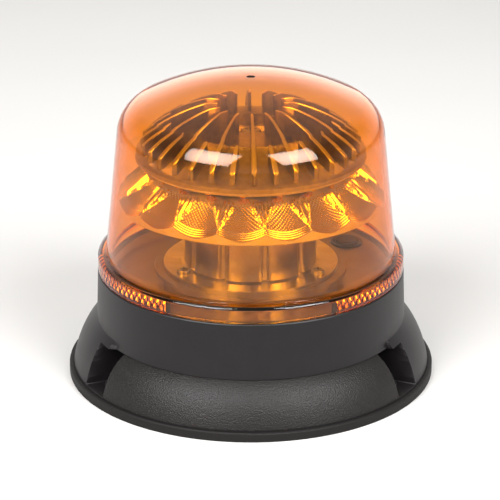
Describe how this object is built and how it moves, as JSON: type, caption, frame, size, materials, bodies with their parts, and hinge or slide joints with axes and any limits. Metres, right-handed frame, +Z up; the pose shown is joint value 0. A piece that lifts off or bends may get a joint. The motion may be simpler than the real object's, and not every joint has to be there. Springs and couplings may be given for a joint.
{
  "type": "led warning beacon",
  "caption": "Round amber warning beacon: twist-lock domed lens over a finned LED head and scooped reflector on a tower, on a flared black base for three-bolt mounting.",
  "frame": {"origin": "centre of the gasket's underside, the plane the beacon is bolted down on", "axes": "+Z up along the lens axis, -Y to the front, +X to the right seen from the front"},
  "size_m": [0.16, 0.16, 0.1338],
  "materials": {
    "gasket_rubber": "fine matte rubber",
    "base_plastic": "black, satin with a fine grain",
    "plated_steel": "zinc plated",
    "seal_rubber": "smooth matte",
    "grey_plastic": "matte",
    "circuit_board": "green solder mask",
    "ferrite": "dark ceramic",
    "capacitor_can": "satin can",
    "chip_body": "black moulded packages",
    "terminal_green": "green terminal block",
    "white_plastic": "natural nylon",
    "wire_red": "insulated wire",
    "amber_lens": "clear amber polycarbonate",
    "cast_satin": "satin casting",
    "metallised": "vacuum metallised plastic",
    "led_board_mask": "white solder mask on aluminium",
    "led_amber": "LED packages with clear domes",
    "pad_grey": "soft thermal pad",
    "cast_bare": "die cast aluminium, dark in the roots and bare on the fin tops",
    "button_rubber": "soft matte cap"
  },
  "bodies": {
    "base": {"mounting_gasket": "gasket_rubber", "base_housing": "base_plastic", "mounting_sleeves": "plated_steel", "bottom_plate": "base_plastic", "bottom_plate_seal": "seal_rubber", "bottom_plate_screws": "plated_steel", "cable_grommet": "seal_rubber", "vent_plug": "grey_plastic", "driver_board": "circuit_board", "driver_board_screws": "plated_steel", "power_inductor": "ferrite", "capacitors": "capacitor_can", "driver_chips": "chip_body", "power_terminal": "terminal_green", "led_connector": "white_plastic", "led_leads": "wire_red", "lens_seal": "seal_rubber", "tower": "cast_satin", "tower_screws": "plated_steel", "reflector": "metallised", "reflector_screws": "plated_steel", "led_board": "led_board_mask", "leds": "led_amber", "led_board_screws": "plated_steel", "thermal_pad": "pad_grey", "heat_sink": "cast_bare", "heat_sink_screw": "plated_steel", "button_bezel": "base_plastic", "switch_board": "circuit_board", "button_switch": "chip_body", "switch_board_screws": "plated_steel"},
    "lens": {"lens": "amber_lens"},
    "pattern_button": {"pattern_button": "button_rubber"}
  },
  "joints": [
    {"name": "lens_twist", "type": "hinge", "parent": "base", "child": "lens", "pos_m": [0, 0, 0.05], "axis": [0, 0, 1], "range_deg": [0, 25]},
    {"name": "button_press", "type": "slide", "parent": "base", "child": "pattern_button", "axis": [0, 0, -1], "range_m": [0, 0.0008], "stiffness_N_per_m": 800, "springref_m": -0.001}
  ]
}
